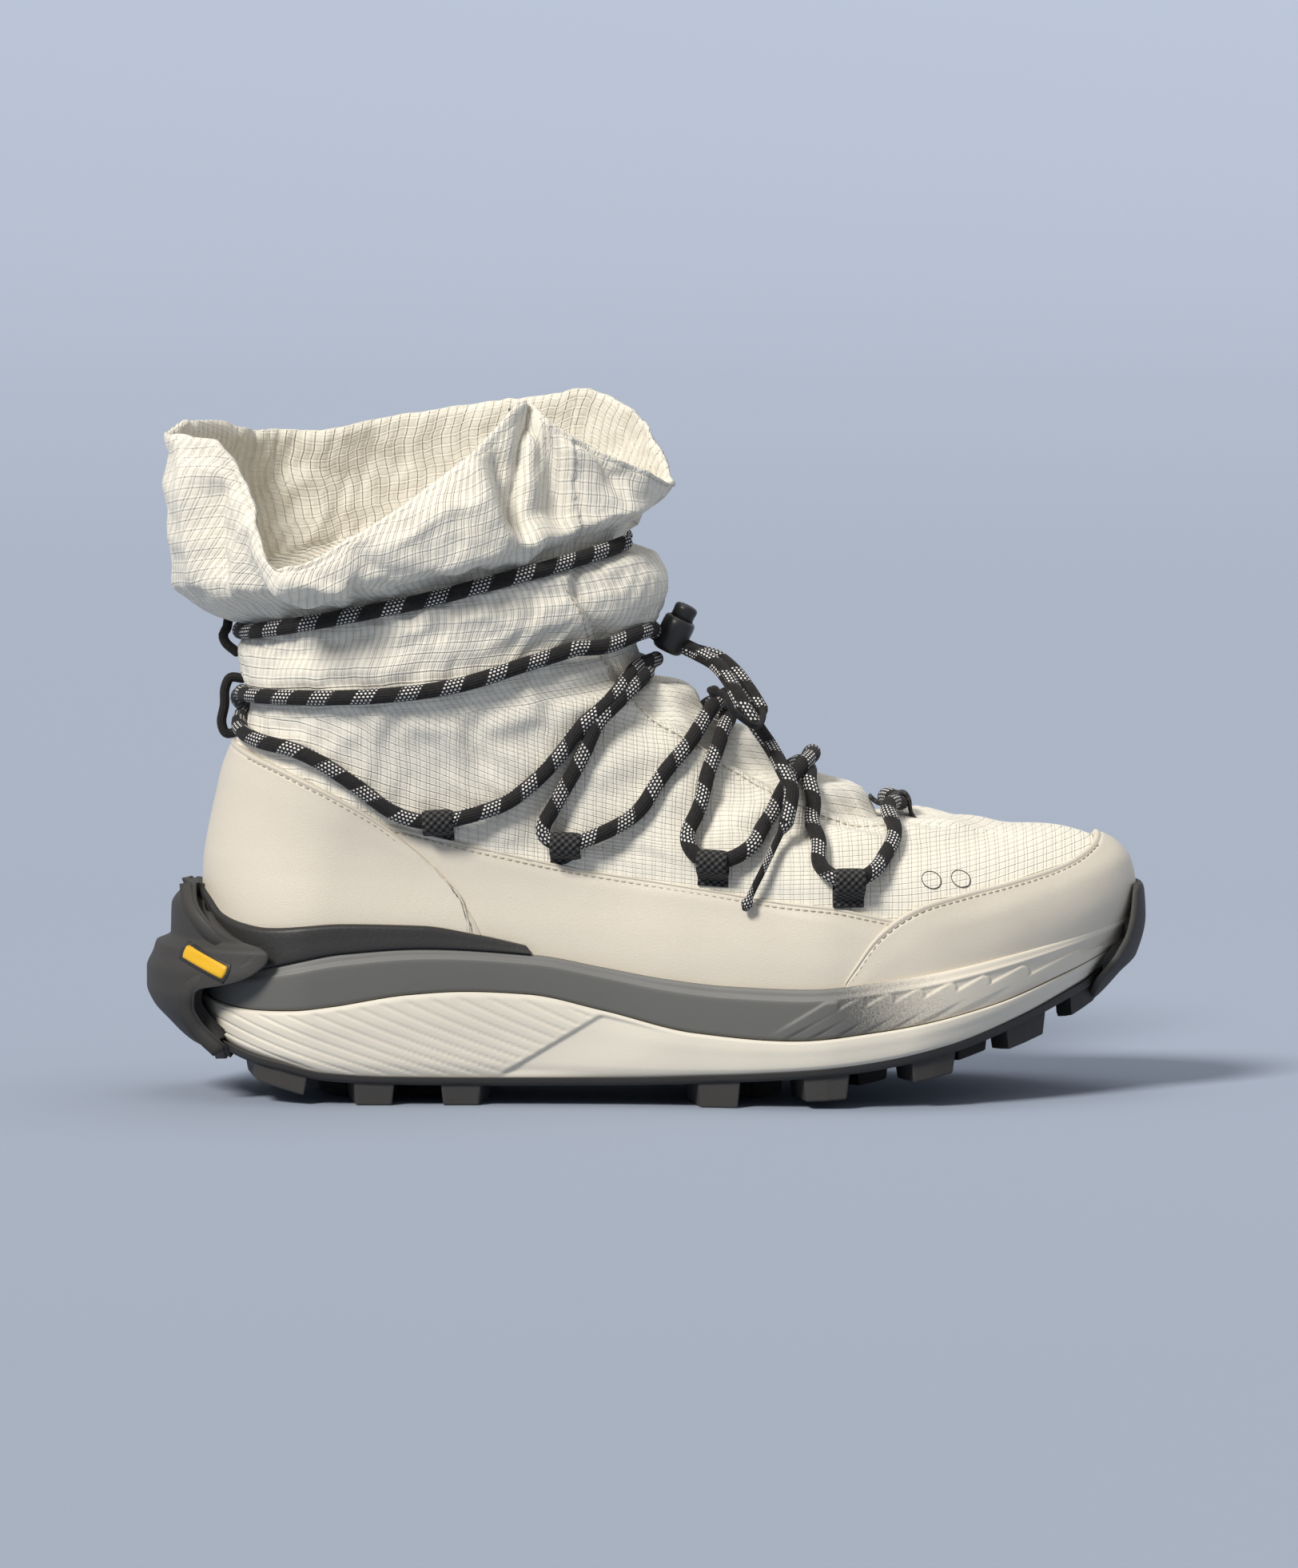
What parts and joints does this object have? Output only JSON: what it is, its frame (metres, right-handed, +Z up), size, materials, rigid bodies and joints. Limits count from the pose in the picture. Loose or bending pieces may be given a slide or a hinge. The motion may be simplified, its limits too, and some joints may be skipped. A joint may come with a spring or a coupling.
{
  "type": "sneaker boot",
  "caption": "Right-foot trail sneaker boot with a padded fabric bootie, slack gathered collar, laced instep with a cord lock, layered midsole and lugged outsole.",
  "frame": {"origin": "centre of the bounding box at floor level", "axes": "+X towards the toe, +Y towards the inner side of the foot, +Z up"},
  "size_m": [0.288, 0.1104, 0.2008],
  "materials": {
    "outsole_rubber": "matte",
    "carrier_foam": "matte",
    "grey_foam": "matte",
    "cradle": "satin",
    "shell_fabric": "matte ripstop",
    "overlay": "satin",
    "insole_foam": "matte",
    "lace": "matte",
    "webbing": "matte",
    "lock_plastic": "satin"
  },
  "bodies": {
    "boot": {"outsole": "outsole_rubber", "midsole_carrier": "carrier_foam", "midsole_foam": "grey_foam", "heel_cradle": "cradle", "upper": "shell_fabric", "tongue": "shell_fabric", "toe_cap": "overlay", "heel_counter": "overlay", "mudguard_lateral": "overlay", "mudguard_medial": "overlay", "insole": "insole_foam", "lace_outer": "lace", "lace_inner": "lace", "lace_cinch": "lace", "lace_end_outer": "lace", "lace_end_inner": "lace", "loop_back_lower": "webbing", "loop_back_upper": "webbing", "loop_toe": "webbing", "lock_barrel": "lock_plastic", "loop_lateral_1": "webbing", "loop_medial_1": "webbing", "loop_lateral_2": "webbing", "loop_medial_2": "webbing", "loop_lateral_3": "webbing", "loop_medial_3": "webbing", "loop_lateral_4": "webbing", "loop_medial_4": "webbing"},
    "plunger": {"lock_plunger": "lock_plastic"}
  },
  "joints": [
    {"name": "plunger_slide", "type": "slide", "parent": "boot", "child": "plunger", "axis": [-0.4384, 0, -0.8988], "range_m": [0, 0.0032], "stiffness_N_per_m": 400}
  ]
}
